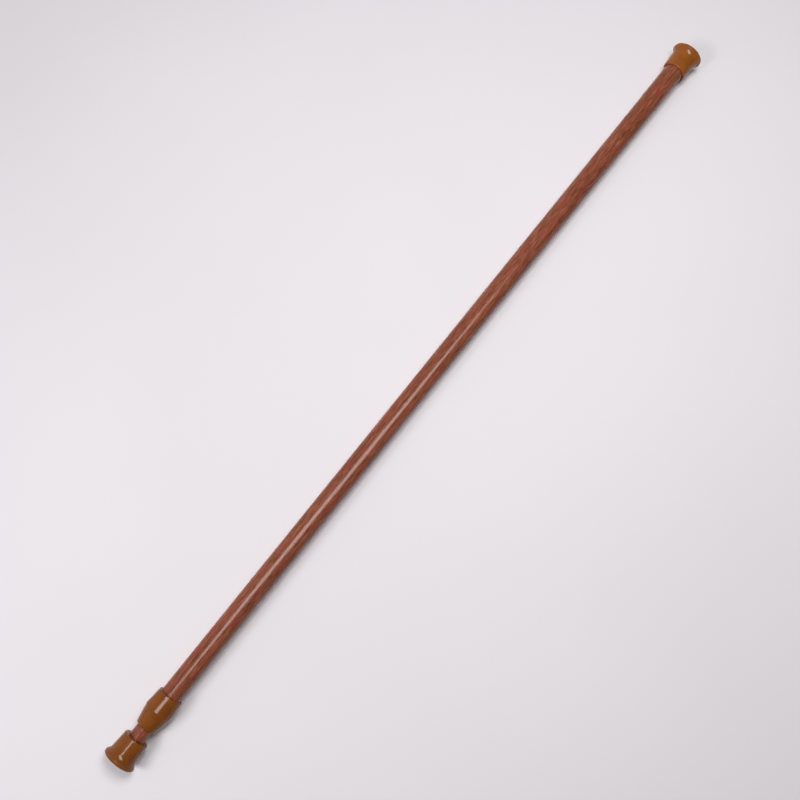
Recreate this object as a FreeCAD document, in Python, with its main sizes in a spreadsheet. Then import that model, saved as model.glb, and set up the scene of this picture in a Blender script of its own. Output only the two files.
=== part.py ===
import FreeCAD, Part
import math
import os
import re
import Sketcher

# A spring tension rod: a film-covered steel tube that telescopes, with a moulded cap on each end.
# The X axis runs along the rod from the fixed end's face, at the origin, to the sliding end's face.
# Everything is at rest: pushed fully in, unlocked, with the inside spring against its stop.

SIZES = {
    # Tubes
    "closed_length": 550.0,
    "outer_tube_diameter": 12.5,
    "outer_tube_wall": 0.4,
    "tube_gap": 1.0,
    "inner_tube_wall": 0.4,
    # End caps, alike outside and bored for one tube or the other
    "cap_length": 15.7,
    "cap_floor": 3.6,
    "cap_flange_diameter": 19.8,
    "cap_face_chamfer": 1.0,
    "cap_rim_width": 0.9,
    "cap_flare_length": 4.0,
    "cap_root_diameter": 16.3,
    "cap_mouth_diameter": 15.2,
    "cap_mouth_chamfer": 0.5,
    "grip_groove_diameter": 10.0,
    "grip_groove_width": 1.6,
    "grip_groove_depth": 0.5,
    # Collar on the mouth of the outer tube
    "collar_gap": 7.8,
    "collar_length": 21.9,
    "collar_socket_depth": 10.5,
    "collar_barrel_length": 10.8,
    "collar_mouth_diameter": 15.3,
    "collar_crease_diameter": 17.0,
    "collar_tip_diameter": 12.6,
    "collar_chamfer": 0.4,
    # Beads rolled into the inner tube
    "bead_width": 2.4,
    "bead_depth": 0.7,
    # Bush in the inner tube's end
    "bush_head_length": 6.0,
    "bush_spigot_length": 14.0,
    "slide_clearance": 0.15,
    # Twist lock: a cam on a shaft, the split ring that it forces outwards and one that centres it
    "lock_margin": 9.6,
    "ring_slit": 1.5,
    "cam_offset": 0.8,
    "cam_clearance": 0.5,
    "cam_ring_width": 8.6,
    "cam_journal_diameter": 6.4,
    "cam_neck_diameter": 7.5,
    "cam_neck_length": 5.0,
    "cam_washer_diameter": 9.0,
    "cam_washer_thickness": 0.8,
    "cam_groove_radius": 0.5,
    "cam_groove_count": 12.0,
    "guide_ring_width": 4.3,
    "guide_groove_diameter": 7.0,
    "guide_flange_width": 1.2,
    "guide_flange_clearance": 0.65,
    "screw_diameter": 2.5,
    "screw_length": 8.0,
    "screw_head_diameter": 4.6,
    "screw_head_height": 1.8,
    "screw_head_chamfer": 0.5,
    "screw_slot_width": 0.8,
    "screw_slot_depth": 0.9,
    # Square push rod, spring and the washers at the spring's ends
    "rod_side": 3.5,
    "rod_socket_depth": 9.0,
    "rod_head_clearance": 0.75,
    "rod_head_thickness": 2.0,
    "spring_stroke": 25.0,
    "stroke_margin": 1.0,
    "spring_length": 50.0,
    "spring_turns": 8.0,
    "spring_wire": 0.9,
    "spring_end_pitch": 1.1,
    "spring_clearance": 0.65,
    "washer_thickness": 1.0,
    "washer_bore": 5.4,
}

doc = FreeCAD.newDocument("spring_tension_rod")
sheet = doc.addObject("Spreadsheet::Sheet", "Sizes")
for row, (alias, size) in enumerate(SIZES.items(), start=1):
    sheet.set(f"A{row}", alias.replace("_", " "))
    sheet.set(f"B{row}", str(size))
    sheet.setAlias(f"B{row}", alias)
doc.recompute()


def formula(text):
    """A formula with the sheet's name put before each of its sizes."""
    return re.sub(r"[a-z_]+", lambda word: f"Sizes.{word[0]}" if word[0] in SIZES else word[0], text)


def value(text):
    """What a formula comes to, as a plain number."""
    return float(sheet.evalExpression(formula(text)))


def origin_part(body, role):
    """The origin plane or axis of a body that has the given role."""
    return next(part for part in body.Origin.OriginFeatures if part.Role == role)


def new_sketch(body, name, role, offset=None):
    """A sketch on one of the body's origin planes, moved along the plane's normal by a formula."""
    sketch = body.newObject("Sketcher::SketchObject", name)
    sketch.AttachmentSupport = (origin_part(body, role), [""])
    sketch.MapMode = "FlatFace"
    if offset:
        sketch.setExpression("AttachmentOffset.Base.z", formula(offset))
    return sketch


def constrain(sketch, kind, places, text):
    """A dimension of a sketch, driven by a formula."""
    size = value(text)
    index = sketch.addConstraint(Sketcher.Constraint(kind, *places, size))
    sketch.setExpression(f"Constraints[{index}]", formula(text))


def arc_between(start, end, radius):
    """The short arc from start to end, with its centre on the left."""
    chord = end - start
    rise = math.sqrt(max(radius ** 2 - chord.Length ** 2 / 4, 0.0))
    left = FreeCAD.Vector(-chord.y, chord.x, 0).normalize()
    centre = (start + end) / 2 + left * rise
    angles = [math.atan2(point.y - centre.y, point.x - centre.x) for point in (start, end)]
    return Part.ArcOfCircle(Part.Circle(centre, FreeCAD.Vector(0, 0, 1), radius), *angles)


def draw_outline(sketch, corners):
    """A closed outline. A corner is its two coordinates, as formulas that aren't negative.

    A corner that starts an arc also has the arc's radius.
    """
    points = []
    for corner in corners:
        along, out = (value(text) for text in corner[:2])
        points.append(FreeCAD.Vector(along, out, 0))
    for index, corner in enumerate(corners):
        start, end = points[index], points[(index + 1) % len(points)]
        if len(corner) == 2:
            sketch.addGeometry(Part.LineSegment(start, end))
        else:
            radius = value(corner[2])
            sketch.addGeometry(arc_between(start, end, radius))
    for index, corner in enumerate(corners):
        following = (index + 1) % len(corners)
        sketch.addConstraint(Sketcher.Constraint("Coincident", index, 2, following, 1))
        for kind, text, zero_axis in (("DistanceX", corner[0], -2), ("DistanceY", corner[1], -1)):
            if text == "0":
                sketch.addConstraint(Sketcher.Constraint("PointOnObject", index, 1, zero_axis))
            else:
                constrain(sketch, kind, (-1, 1, index, 1), text)
        if len(corner) > 2:
            constrain(sketch, "Radius", (index,), corner[2])


def draw_circle(sketch, radius, drop="0"):
    """A circle whose centre is at the sketch's origin, or below it by a formula."""
    below = value(drop)
    size = value(radius)
    centre = FreeCAD.Vector(0, -below, 0)
    index = sketch.addGeometry(Part.Circle(centre, FreeCAD.Vector(0, 0, 1), size))
    sketch.addConstraint(Sketcher.Constraint("PointOnObject", index, 3, -2))
    if drop == "0":
        sketch.addConstraint(Sketcher.Constraint("PointOnObject", index, 3, -1))
    else:
        constrain(sketch, "DistanceY", (index, 3, -1, 1), drop)
    constrain(sketch, "Radius", (index,), radius)


def draw_rectangle(sketch, across, up):
    """A rectangle about the sketch's origin, from formulas for its width and its height."""
    half_across = value(across) / 2
    half_up = value(up) / 2
    signs = [(-1, -1), (1, -1), (1, 1), (-1, 1)]
    points = [FreeCAD.Vector(half_across * right, half_up * top, 0) for right, top in signs]
    for index, point in enumerate(points):
        sketch.addGeometry(Part.LineSegment(point, points[(index + 1) % 4]))
    for index in range(4):
        direction = "Horizontal" if index % 2 == 0 else "Vertical"
        sketch.addConstraint(Sketcher.Constraint("Coincident", index, 2, (index + 1) % 4, 1))
        sketch.addConstraint(Sketcher.Constraint(direction, index))
    sketch.addConstraint(Sketcher.Constraint("Symmetric", 0, 1, 2, 1, -1, 1))
    constrain(sketch, "DistanceX", (0, 1, 0, 2), across)
    constrain(sketch, "DistanceY", (1, 1, 1, 2), up)


def turned(label, corners):
    """A piece turned about the X axis from an outline of places along it and radii."""
    body = doc.addObject("PartDesign::Body", label)
    add_turn(body, corners)
    return body


def add_turn(body, corners):
    """A turned stretch of a body."""
    sketch = new_sketch(body, "Profile", "XY_Plane")
    draw_outline(sketch, corners)
    turn = body.newObject("PartDesign::Revolution", "Turn")
    turn.Profile = sketch
    turn.ReferenceAxis = (sketch, ["H_Axis"])
    turn.Angle = 360.0


def add_pad(body, sketch, length):
    """A pad along the X axis from a sketch on the YZ plane."""
    pad = body.newObject("PartDesign::Pad", "Pad")
    pad.Profile = sketch
    pad.setExpression("Length", formula(length))


def add_pocket(body, sketch, length=None, reverse=False):
    """A pocket of a given depth, or right through on one side of its sketch."""
    pocket = body.newObject("PartDesign::Pocket", "Pocket")
    pocket.Profile = sketch
    pocket.Reversed = reverse
    if length:
        pocket.setExpression("Length", formula(length))
    else:
        pocket.Type = "ThroughAll"
    return pocket


def add_slit(body, length):
    """A slit along the bottom of a ring, from end to end, which lets it spring."""
    sketch = new_sketch(body, "Slit", "XY_Plane")
    draw_rectangle(sketch, f"2 * {length}", "ring_slit")
    add_pocket(body, sketch)


def place(piece, along, down="0", turn="0"):
    """Puts a piece at its place along the rod, and below the axis, turned about Z by degrees."""
    spot = f"vector({along}; 0; 0 - ({down}))"
    piece.setExpression("Placement", formula(f"placement({spot}; rotation({turn}; 0; 0))"))
    return piece


# The spring's wire is drawn with this many sides, and each turn with this many straight lengths
WIRE_SIDES = 6
TURN_LENGTHS = 16

# How a swept section meets at a path's corners: mitred
RIGHT_CORNERS = 1

# Radii that several pieces share
OUTER_RADIUS = "(outer_tube_diameter / 2)"
OUTER_BORE = f"({OUTER_RADIUS} - outer_tube_wall)"
INNER_RADIUS = f"({OUTER_BORE} - tube_gap)"
INNER_BORE = f"({INNER_RADIUS} - inner_tube_wall)"
JOURNAL_RADIUS = "(cam_journal_diameter / 2)"

# Places along the rod, each one from the pieces before it
OUTER_START = "cap_floor"
COLLAR_START = "(closed_length - cap_length - collar_gap - collar_length)"
OUTER_LENGTH = f"({COLLAR_START} + collar_socket_depth - {OUTER_START})"
INNER_END = f"(closed_length - {OUTER_START})"
SCREW_START = f"({OUTER_START} + collar_gap + lock_margin)"
WASHER_START = f"({SCREW_START} + screw_head_height)"
JOURNAL_START = f"({WASHER_START} + cam_washer_thickness)"
JOURNAL_LENGTH = "(cam_ring_width + 2 * slide_clearance)"
GROOVE_START = f"({JOURNAL_LENGTH} + guide_flange_width)"
GROOVE_END = f"({GROOVE_START} + guide_ring_width + 2 * slide_clearance)"
BASE_END = f"({GROOVE_END} + guide_flange_width)"
NECK_END = f"({JOURNAL_START} + {BASE_END} + cam_neck_length)"
BUSH_START = f"({NECK_END} + spring_stroke + stroke_margin)"
INNER_START = f"({BUSH_START} + bush_head_length)"
BUFFER_START = f"({INNER_START} + bush_spigot_length)"
ROD_HEAD_START = f"({BUFFER_START} + washer_thickness)"
SPRING_START = f"({ROD_HEAD_START} + rod_head_thickness)"
STOP_START = f"({SPRING_START} + spring_length)"


def end_cap(label, socket):
    """A flared cap, from its end face at x = 0 to its mouth, with a socket for a tube."""
    flange = "(cap_flange_diameter / 2)"
    root = "(cap_root_diameter / 2)"
    mouth = "(cap_mouth_diameter / 2)"
    groove = "(grip_groove_diameter / 2)"
    rim_end = "(cap_face_chamfer + cap_rim_width)"
    drop = f"({flange} - {root})"
    flare_radius = f"(cap_flare_length ^ 2 + {drop} ^ 2) / (2 * {drop})"
    return turned(label, [
        ("0", "0"),
        ("0", f"{groove} - grip_groove_width / 2"),
        ("grip_groove_depth", groove),
        ("0", f"{groove} + grip_groove_width / 2"),
        ("0", f"{flange} - cap_face_chamfer"),
        ("cap_face_chamfer", flange),
        (rim_end, flange, flare_radius),
        (f"{rim_end} + cap_flare_length", root),
        ("cap_length - cap_mouth_chamfer", mouth),
        ("cap_length", f"{mouth} - cap_mouth_chamfer"),
        ("cap_length", socket),
        ("cap_floor", socket),
        ("cap_floor", "0"),
    ])


def washer(label, bore, radius, thickness):
    """A flat ring."""
    return turned(label, [("0", bore), ("0", radius), (thickness, radius), (thickness, bore)])


def outer_tube():
    """The tube that carries the collar, with the lock inside it."""
    return washer("outer_tube", OUTER_BORE, OUTER_RADIUS, OUTER_LENGTH)


def bead(centre, radius, step):
    """The three corners of a rolled bead about a place along a tube, in the direction of step."""
    first, last = ("-", "+") if step > 0 else ("+", "-")
    return [
        (f"{centre} {first} bead_width / 2", radius),
        (centre, f"{radius} - bead_depth"),
        (f"{centre} {last} bead_width / 2", radius),
    ]


def inner_tube():
    """The sliding tube, with a bead that holds the bush and one that stops the spring's washer."""
    length = f"({INNER_END} - {INNER_START})"
    crimp = "(bush_spigot_length / 2)"
    stop = f"({STOP_START} + washer_thickness + bead_width / 2 - {INNER_START})"
    return turned("inner_tube", [
        ("0", INNER_BORE),
        ("0", INNER_RADIUS),
        *bead(crimp, INNER_RADIUS, 1),
        *bead(stop, INNER_RADIUS, 1),
        (length, INNER_RADIUS),
        (length, INNER_BORE),
        *bead(stop, INNER_BORE, -1),
        *bead(crimp, INNER_BORE, -1),
    ])


def collar():
    """The barrel that covers the outer tube's mouth and tapers both ways from its crease."""
    mouth = "(collar_mouth_diameter / 2)"
    crease = "(collar_crease_diameter / 2)"
    tip = "(collar_tip_diameter / 2)"
    bore = f"({INNER_RADIUS} + slide_clearance)"
    return turned("collar", [
        ("0", OUTER_RADIUS),
        ("0", f"{mouth} - collar_chamfer"),
        ("collar_chamfer", mouth),
        ("collar_barrel_length", crease),
        ("collar_length - collar_chamfer", tip),
        ("collar_length", f"{tip} - collar_chamfer"),
        ("collar_length", bore),
        ("collar_socket_depth", bore),
        ("collar_socket_depth", OUTER_RADIUS),
    ])


def tube_bush():
    """The bush in the inner tube: a head that runs in the outer tube and a crimped spigot."""
    head = f"({OUTER_BORE} - slide_clearance)"
    crimp = "(bush_head_length + bush_spigot_length / 2)"
    length = "(bush_head_length + bush_spigot_length)"
    body = turned("tube_bush", [
        ("0", "0"),
        ("0", head),
        ("bush_head_length", head),
        ("bush_head_length", INNER_BORE),
        *bead(crimp, INNER_BORE, 1),
        (length, INNER_BORE),
        (length, "0"),
    ])
    bore = new_sketch(body, "SquareBore", "YZ_Plane", length)
    bore_side = "rod_side + 2 * slide_clearance"
    draw_rectangle(bore, bore_side, bore_side)
    add_pocket(body, bore)
    return body


def guide_ring():
    """The split ring in the shaft's groove that centres the lock in the outer tube."""
    bore = "guide_groove_diameter / 2 + slide_clearance"
    radius = f"{OUTER_BORE} - slide_clearance"
    body = washer("guide_ring", bore, radius, "guide_ring_width")
    add_slit(body, "guide_ring_width")
    return body


def cam_shaft():
    """The lock's shaft: an eccentric journal, a grooved base and a neck with the rod's socket."""
    body = doc.addObject("PartDesign::Body", "cam_shaft")
    flange = f"({OUTER_BORE} - guide_flange_clearance)"
    groove = "(guide_groove_diameter / 2)"
    neck = "(cam_neck_diameter / 2)"
    length = f"({BASE_END} + cam_neck_length)"
    add_turn(body, [
        (JOURNAL_LENGTH, "0"),
        (JOURNAL_LENGTH, flange),
        (GROOVE_START, flange),
        (GROOVE_START, groove),
        (GROOVE_END, groove),
        (GROOVE_END, flange),
        (BASE_END, flange),
        (BASE_END, neck),
        (length, neck),
        (length, "0"),
    ])
    journal = new_sketch(body, "Journal", "YZ_Plane")
    draw_circle(journal, JOURNAL_RADIUS, "cam_offset")
    add_pad(body, journal, JOURNAL_LENGTH)
    screw_hole = new_sketch(body, "ScrewHole", "YZ_Plane")
    draw_circle(screw_hole, "screw_diameter / 2", "cam_offset")
    add_pocket(body, screw_hole, "screw_length - cam_washer_thickness", reverse=True)
    socket = new_sketch(body, "RodSocket", "YZ_Plane", length)
    draw_rectangle(socket, "rod_side", "rod_side")
    add_pocket(body, socket, "rod_socket_depth")
    return body


def cam_ring():
    """The split ring on the journal, with grip grooves, that a twist forces against the outer tube."""
    body = doc.addObject("PartDesign::Body", "cam_ring")
    radius = f"({OUTER_BORE} - cam_clearance)"
    section = new_sketch(body, "Section", "YZ_Plane")
    draw_circle(section, radius)
    draw_circle(section, f"{JOURNAL_RADIUS} + slide_clearance", "cam_offset")
    add_pad(body, section, "cam_ring_width")
    groove = new_sketch(body, "Groove", "YZ_Plane", "cam_ring_width")
    draw_circle(groove, "cam_groove_radius", radius)
    cut = add_pocket(body, groove)
    grooves = body.newObject("PartDesign::PolarPattern", "Grooves")
    grooves.Originals = [cut]
    grooves.Axis = (origin_part(body, "X_Axis"), [""])
    grooves.Angle = 360.0
    grooves.setExpression("Occurrences", formula("cam_groove_count"))
    body.Tip = grooves
    add_slit(body, "cam_ring_width")
    return body


def cam_screw():
    """The slotted screw that keeps the washer, and so the ring, on the journal."""
    head = "(screw_head_diameter / 2)"
    shank = "(screw_diameter / 2)"
    length = "(screw_head_height + screw_length)"
    body = turned("cam_screw", [
        ("0", "0"),
        ("0", f"{head} - screw_head_chamfer"),
        ("screw_head_chamfer", head),
        ("screw_head_height", head),
        ("screw_head_height", shank),
        (length, shank),
        (length, "0"),
    ])
    slot = new_sketch(body, "Slot", "YZ_Plane")
    draw_rectangle(slot, "screw_slot_width", "screw_head_diameter")
    add_pocket(body, slot, "screw_slot_depth", reverse=True)
    return body


def push_rod():
    """The square rod from the lock's shaft through the bush, with a round head under the spring."""
    body = doc.addObject("PartDesign::Body", "push_rod")
    length = f"({ROD_HEAD_START} - {NECK_END} + rod_socket_depth)"
    section = new_sketch(body, "Section", "YZ_Plane")
    draw_rectangle(section, "rod_side", "rod_side")
    add_pad(body, section, length)
    head = new_sketch(body, "Head", "YZ_Plane", length)
    draw_circle(head, f"{INNER_BORE} - rod_head_clearance")
    add_pad(body, head, "rod_head_thickness")
    return body


def spring():
    """The compression spring: wire wound in open turns, with a closed turn at each end."""
    names = ("spring_length", "spring_turns", "spring_wire", "spring_end_pitch")
    length, turns, wire, end_pitch = (value(name) for name in names)
    coil = value(f"{INNER_BORE} - spring_clearance - spring_wire / 2")
    start = value(SPRING_START)
    open_pitch = (length - wire - 2 * end_pitch) / turns
    points = []
    for step in range(int(turns + 2) * TURN_LENGTHS + 1):
        turned_by = step / TURN_LENGTHS
        open_turns = min(max(turned_by - 1, 0), turns)
        along = wire / 2 + open_pitch * open_turns + end_pitch * (turned_by - open_turns)
        angle = 2 * math.pi * turned_by
        points.append(FreeCAD.Vector(along, coil * math.cos(angle), coil * math.sin(angle)))
    heading = (points[1] - points[0]).normalize()
    outward = (FreeCAD.Vector(0, 1, 0) - heading * heading.y).normalize()
    section = []
    for side in range(WIRE_SIDES + 1):
        turn = FreeCAD.Rotation(heading, 360 * side / WIRE_SIDES)
        section.append(points[0] + turn.multVec(outward) * (wire / 2))
    path = Part.makePolygon(points)
    piece = doc.addObject("Part::Feature", "spring")
    piece.Shape = path.makePipeShell([Part.makePolygon(section)], True, False, RIGHT_CORNERS)
    piece.Placement.Base = FreeCAD.Vector(start, 0, 0)
    return piece


def build():
    """Makes every piece at its place along the rod."""
    washer_radius = f"({INNER_BORE} - slide_clearance)"
    bore = "(washer_bore / 2)"
    cam_washer_sizes = ("screw_diameter / 2", "cam_washer_diameter / 2", "cam_washer_thickness")
    return [
        place(end_cap("fixed_end_cap", OUTER_RADIUS), "0"),
        place(outer_tube(), OUTER_START),
        place(collar(), COLLAR_START),
        place(cam_screw(), SCREW_START, down="cam_offset"),
        place(washer("cam_washer", *cam_washer_sizes), WASHER_START, down="cam_offset"),
        place(cam_ring(), f"{JOURNAL_START} + slide_clearance"),
        place(cam_shaft(), JOURNAL_START),
        place(push_rod(), f"{NECK_END} - rod_socket_depth"),
        place(guide_ring(), f"{JOURNAL_START} + {GROOVE_START} + slide_clearance"),
        place(tube_bush(), BUSH_START),
        place(washer("buffer_washer", bore, washer_radius, "washer_thickness"), BUFFER_START),
        spring(),
        place(washer("stop_washer", bore, washer_radius, "washer_thickness"), STOP_START),
        place(inner_tube(), INNER_START),
        place(end_cap("sliding_end_cap", INNER_RADIUS), "closed_length", turn="180"),
    ]


pieces = build()
doc.recompute()
for item in doc.Objects:
    if "Invalid" in item.State or "Error" in item.State:
        raise RuntimeError(f"{item.Label} did not build: {item.State}")
os.makedirs("parts", exist_ok=True)
for piece in pieces:
    if piece.Shape.isNull() or not piece.Shape.isValid():
        raise RuntimeError(f"{piece.Label} has no valid shape")
for piece in pieces:
    piece.Shape.exportStep(f"parts/{piece.Label}.step")
    box = piece.Shape.BoundBox
    print(f"{piece.Label}: x {box.XMin:.2f} to {box.XMax:.2f}, volume {piece.Shape.Volume:.1f}")
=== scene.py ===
import math

import bmesh
import bpy
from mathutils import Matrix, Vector


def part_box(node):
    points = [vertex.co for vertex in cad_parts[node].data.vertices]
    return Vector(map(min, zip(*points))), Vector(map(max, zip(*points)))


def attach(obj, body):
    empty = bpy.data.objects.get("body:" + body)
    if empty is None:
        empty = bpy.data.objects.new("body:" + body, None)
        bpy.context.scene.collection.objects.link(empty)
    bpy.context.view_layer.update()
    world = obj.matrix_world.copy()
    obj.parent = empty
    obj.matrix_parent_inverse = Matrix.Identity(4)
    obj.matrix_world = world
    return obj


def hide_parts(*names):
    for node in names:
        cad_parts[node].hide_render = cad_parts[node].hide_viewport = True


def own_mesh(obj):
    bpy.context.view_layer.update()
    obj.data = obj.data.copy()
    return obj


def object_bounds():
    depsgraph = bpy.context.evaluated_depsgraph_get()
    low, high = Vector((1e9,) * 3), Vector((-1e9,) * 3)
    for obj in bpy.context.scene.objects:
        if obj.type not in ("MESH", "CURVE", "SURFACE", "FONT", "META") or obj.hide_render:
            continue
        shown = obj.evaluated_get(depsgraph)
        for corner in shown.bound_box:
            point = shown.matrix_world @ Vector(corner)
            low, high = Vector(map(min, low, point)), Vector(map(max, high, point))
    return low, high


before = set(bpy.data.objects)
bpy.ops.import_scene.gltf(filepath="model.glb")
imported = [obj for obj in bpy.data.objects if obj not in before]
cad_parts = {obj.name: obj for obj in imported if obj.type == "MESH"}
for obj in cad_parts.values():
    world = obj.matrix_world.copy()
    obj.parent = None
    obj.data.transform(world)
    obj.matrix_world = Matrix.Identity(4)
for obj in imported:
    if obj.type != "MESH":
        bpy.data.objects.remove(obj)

cad_low, cad_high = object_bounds()

bl_info = {
    "name": "Spring tension rod",
    "version": (1, 0, 0),
    "blender": (4, 5, 0),
    "location": "View3D > Sidebar > Tension rod",
    "description": "Builds the looks of a spring tension rod around its packed solids",
    "category": "Add Mesh",
}

# The rod lies along X, from the fixed cap's face at the origin, and all lengths are in metres.

# Sides of a turned piece, points of a rounded corner, and the most of a straight that one rounding takes
TURN_SIDES = 96
ROUND_STEPS = 6
TRIM_SHARE = 0.48

# How far from its ends a straight is held flat, where it is long enough
FLAT_EDGE = 0.0002
LONG_STRAIGHT = 4.0 * FLAT_EDGE

# Straight lengths that stand for the curve of a cap's flare
FLARE_STEPS = 16

# The circle that an outline is carried round, and how close points are when they are one
PATH_RADIUS = 0.1
SAME_POINT = 0.000001

# Points in each turn of the spring, turns that are closed, one at each end, and sides of its wire
TURN_POINTS = 40
CLOSED_TURNS = 2
WIRE_SIDES = 12

# Inputs and outputs of a Mix node, for colours and for values
MIX_FACTOR = 0
MIX_FIRST_COLOUR, MIX_SECOND_COLOUR = 6, 7
MIX_COLOUR = 2
MIX_FIRST_VALUE, MIX_SECOND_VALUE = 2, 3
MIX_VALUE = 0

# Octaves of the noise in streaks and clouds, and how rough the streaks are
NOISE_DETAIL = 3.0
STREAK_ROUGHNESS = 0.6

# Values of a noise between which an effect sets in: over most of the noise's range, or more softly
NOISE_LIMITS = (0.35, 0.65)
SOFT_LIMITS = (0.3, 0.7)

# The film's streaks, each with its length and width, and the share of the bands beside the lines
FILM_BANDS = (0.045, 0.0030)
FILM_LINES = (0.007, 0.0007)
FILM_PATCHES = (0.008, 0.0030)
FILM_PORES = (0.003, 0.0004)
BAND_SHARE = 0.3

# Where the film's colours set in, and how far the red patches and the pores hide what is under them
MIDDLE_LIMITS = (0.36, 0.50)
PALE_LIMITS = (0.50, 0.64)
RED_LIMITS = (0.52, 0.66)
RED_MOST = 0.6
PORE_LIMITS = (0.58, 0.70)
PORE_MOST = 0.55

# Sizes of the plastic's clouds, grain and scuffs, and the length and width of its flow marks
PLASTIC_CLOUDS = 0.007
PLASTIC_GRAIN = 0.0005
PLASTIC_SCUFFS = 0.0016
PLASTIC_FLOW = (0.012, 0.0025)

# Where the flow marks and the scuffs set in, and how far they hide what is under them
FLOW_LIMITS = (0.5, 0.7)
FLOW_MOST = 0.35
SCUFF_LIMITS = (0.48, 0.66)
SCUFF_MOST = 0.6

# Keeps the part of a place that lies across the rod
ACROSS = (0.0, 1.0, 1.0)

# How deep the widest rims are worn, and what the grain and the wear add to the plastic's roughness
WORN_DEPTH = 0.0004
GRAIN_ROUGHNESS = 0.06
WORN_ROUGHNESS = 0.3

# Sizes of the nylon's clouds and grain, and where its clouds set in
NYLON_CLOUDS = 0.004
NYLON_GRAIN = 0.0004
NYLON_LIMITS = (0.35, 0.7)

# Size of the zinc's spangle, and the length and width of its drawing lines
ZINC_SPANGLE = 0.0022
ZINC_LINES = (0.020, 0.00025)

# Size of the dust marks on the rubber, where they set in, and how far they hide it
RUBBER_DUST = 0.0012
DUST_LIMITS = (0.5, 0.75)
DUST_MOST = 0.6

# Least and greatest roughness of the finishes
FILM_ROUGHNESS = (0.17, 0.26)
NYLON_ROUGHNESS = (0.42, 0.58)
ZINC_ROUGHNESS = (0.26, 0.44)
RUBBER_ROUGHNESS = (0.68, 0.85)

# Strength and height of the finishes' bumps
FILM_BUMP = (0.25, 0.00002)
PLASTIC_BUMP = (0.06, 0.0002)
NYLON_BUMP = (0.15, 0.00004)
ZINC_BUMP = (0.12, 0.00002)
RUBBER_BUMP = (0.2, 0.00005)

# Size of the table's clouds, its roughness and its specular level
TABLE_CLOUDS = 0.25
TABLE_ROUGHNESS = 0.6
TABLE_SPECULAR = 0.2

# The table's middle, how much sooner it fades out across the rod than along it, and where it does so
TABLE_MIDDLE = (0.45, 0.0)
TABLE_NARROWING = 1.5
TABLE_FADE = 0.42
TABLE_REACH = 0.85

# Places and sizes of the lamps, which all face down, and how far the mirrored one is turned
SHINE_PLACE = (0.34, 0.05, 1.2)
SHINE_SIZE = (0.95, 0.5)
SHINE_TURN = math.radians(-40.0)
NEAR_PLACE = (0.80, -0.26, 0.70)
NEAR_SIZE = (0.34, 0.34)
FAR_PLACE = (0.08, 0.0, 0.75)
FAR_SIZE = (0.3, 0.3)

# Directions along Y, and upwards, between which the room turns from bright to dim
MIRRORED_SIDES = (-0.7, 0.7)
MIRRORED_HEIGHTS = (0.4, 0.85)
FILL_SIDES = (-1.0, 1.0)


def length(name, description, default):
    """A setting that is a length."""
    return bpy.props.FloatProperty(
        name=name, description=description, default=default, min=0.0, precision=5, unit="LENGTH"
    )


def colour(name, description, default):
    """A setting that is a colour."""
    return bpy.props.FloatVectorProperty(
        name=name, description=description, default=default, min=0.0, max=1.0, size=3, subtype="COLOR"
    )


def amount(name, description, default, highest=1.0):
    """A setting that is a plain number."""
    return bpy.props.FloatProperty(
        name=name, description=description, default=default, min=0.0, max=highest
    )


def ends(node):
    """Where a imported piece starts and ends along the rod."""
    low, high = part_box(node)
    return low.x, high.x


def reach(node):
    """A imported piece's largest radius about the rod's axis."""
    low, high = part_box(node)
    return max(-low.y, high.y, -low.z, high.z)


class TubeSettings(bpy.types.PropertyGroup):
    """Sizes of the two tubes, and the colours of their wood-grain film."""

    wall: length("Wall", "Thickness of the steel and its film", 0.0004)
    edge: length("Edge rounding", "Rounding of the cut ends", 0.0001)
    bead_width: length("Bead width", "Width of a bead rolled into the inner tube", 0.0024)
    bead_depth: length("Bead depth", "Depth of a bead rolled into the inner tube", 0.0007)
    bead_round: length("Bead rounding", "Rounding of a bead's bottom and shoulders", 0.0008)
    seam: length("Seam depth", "Depth of the film's seam, along the underside", 0.00008)
    dark: colour("Dark grain", "Colour of the film's darkest streaks", (0.136, 0.039, 0.021))
    middle: colour("Grain", "Colour between the streaks", (0.240, 0.070, 0.033))
    pale: colour("Pale grain", "Colour of the film's palest streaks", (0.360, 0.116, 0.066))
    red: colour("Red grain", "Colour of the film's red patches", (0.315, 0.055, 0.041))
    specular: amount("Specular level", "How strongly the film reflects, where 0.5 is usual", 0.25)


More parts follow.
